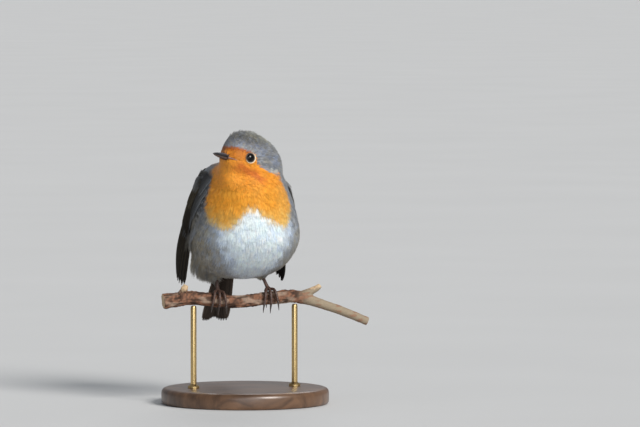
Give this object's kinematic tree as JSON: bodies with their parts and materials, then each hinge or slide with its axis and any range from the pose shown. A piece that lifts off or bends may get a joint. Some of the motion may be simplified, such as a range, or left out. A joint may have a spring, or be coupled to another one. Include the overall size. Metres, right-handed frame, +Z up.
{
  "type": "European robin on a perch",
  "caption": "Life-size songbird model with an orange breast, gripping a short cut branch on a round display stand, head turned to one side.",
  "frame": {"origin": "centre of the display stand's underside", "axes": "+Z up, -Y the way the bird's breast faces, +X to the bird's left"},
  "size_m": [0.1064, 0.1, 0.1368],
  "materials": {
    "crown_feathers": "soft matt feathers",
    "breast_feathers": "soft matt feathers",
    "belly_feathers": "soft matt feathers",
    "back_feathers": "soft matt feathers",
    "flight_feathers": "smooth, slightly glossy feathers",
    "bill_horn": "satin horn",
    "eye": "wet gloss",
    "leg_skin": "scaly satin skin",
    "claw_horn": "satin horn",
    "bark": "rough bark",
    "stand_wood": "satin varnish",
    "stand_brass": "brushed"
  },
  "bodies": {
    "root": {"back": "back_feathers", "belly": "belly_feathers", "bill_lower": "bill_horn", "bill_upper": "bill_horn", "breast": "breast_feathers", "claw_hind_left": "claw_horn", "claw_hind_right": "claw_horn", "claw_inner_left": "claw_horn", "claw_inner_right": "claw_horn", "claw_middle_left": "claw_horn", "claw_middle_right": "claw_horn", "claw_outer_left": "claw_horn", "claw_outer_right": "claw_horn", "eye_left": "eye", "eye_right": "eye", "head": "crown_feathers", "neck": "breast_feathers", "perch_branch": "bark", "rump": "back_feathers", "stand_base": "stand_wood", "stand_rod_left": "stand_brass", "stand_rod_right": "stand_brass", "tail_left": "flight_feathers", "tail_right": "flight_feathers", "tarsus_left": "leg_skin", "tarsus_right": "leg_skin", "thigh_left": "belly_feathers", "thigh_right": "belly_feathers", "toe_hind_left": "leg_skin", "toe_hind_right": "leg_skin", "toe_inner_left": "leg_skin", "toe_inner_right": "leg_skin", "toe_middle_left": "leg_skin", "toe_middle_right": "leg_skin", "toe_outer_left": "leg_skin", "toe_outer_right": "leg_skin", "wing_coverts_left": "flight_feathers", "wing_coverts_right": "flight_feathers", "wing_primaries_left": "flight_feathers", "wing_primaries_right": "flight_feathers", "wing_secondaries_left": "flight_feathers", "wing_secondaries_right": "flight_feathers"}
  },
  "joints": []
}
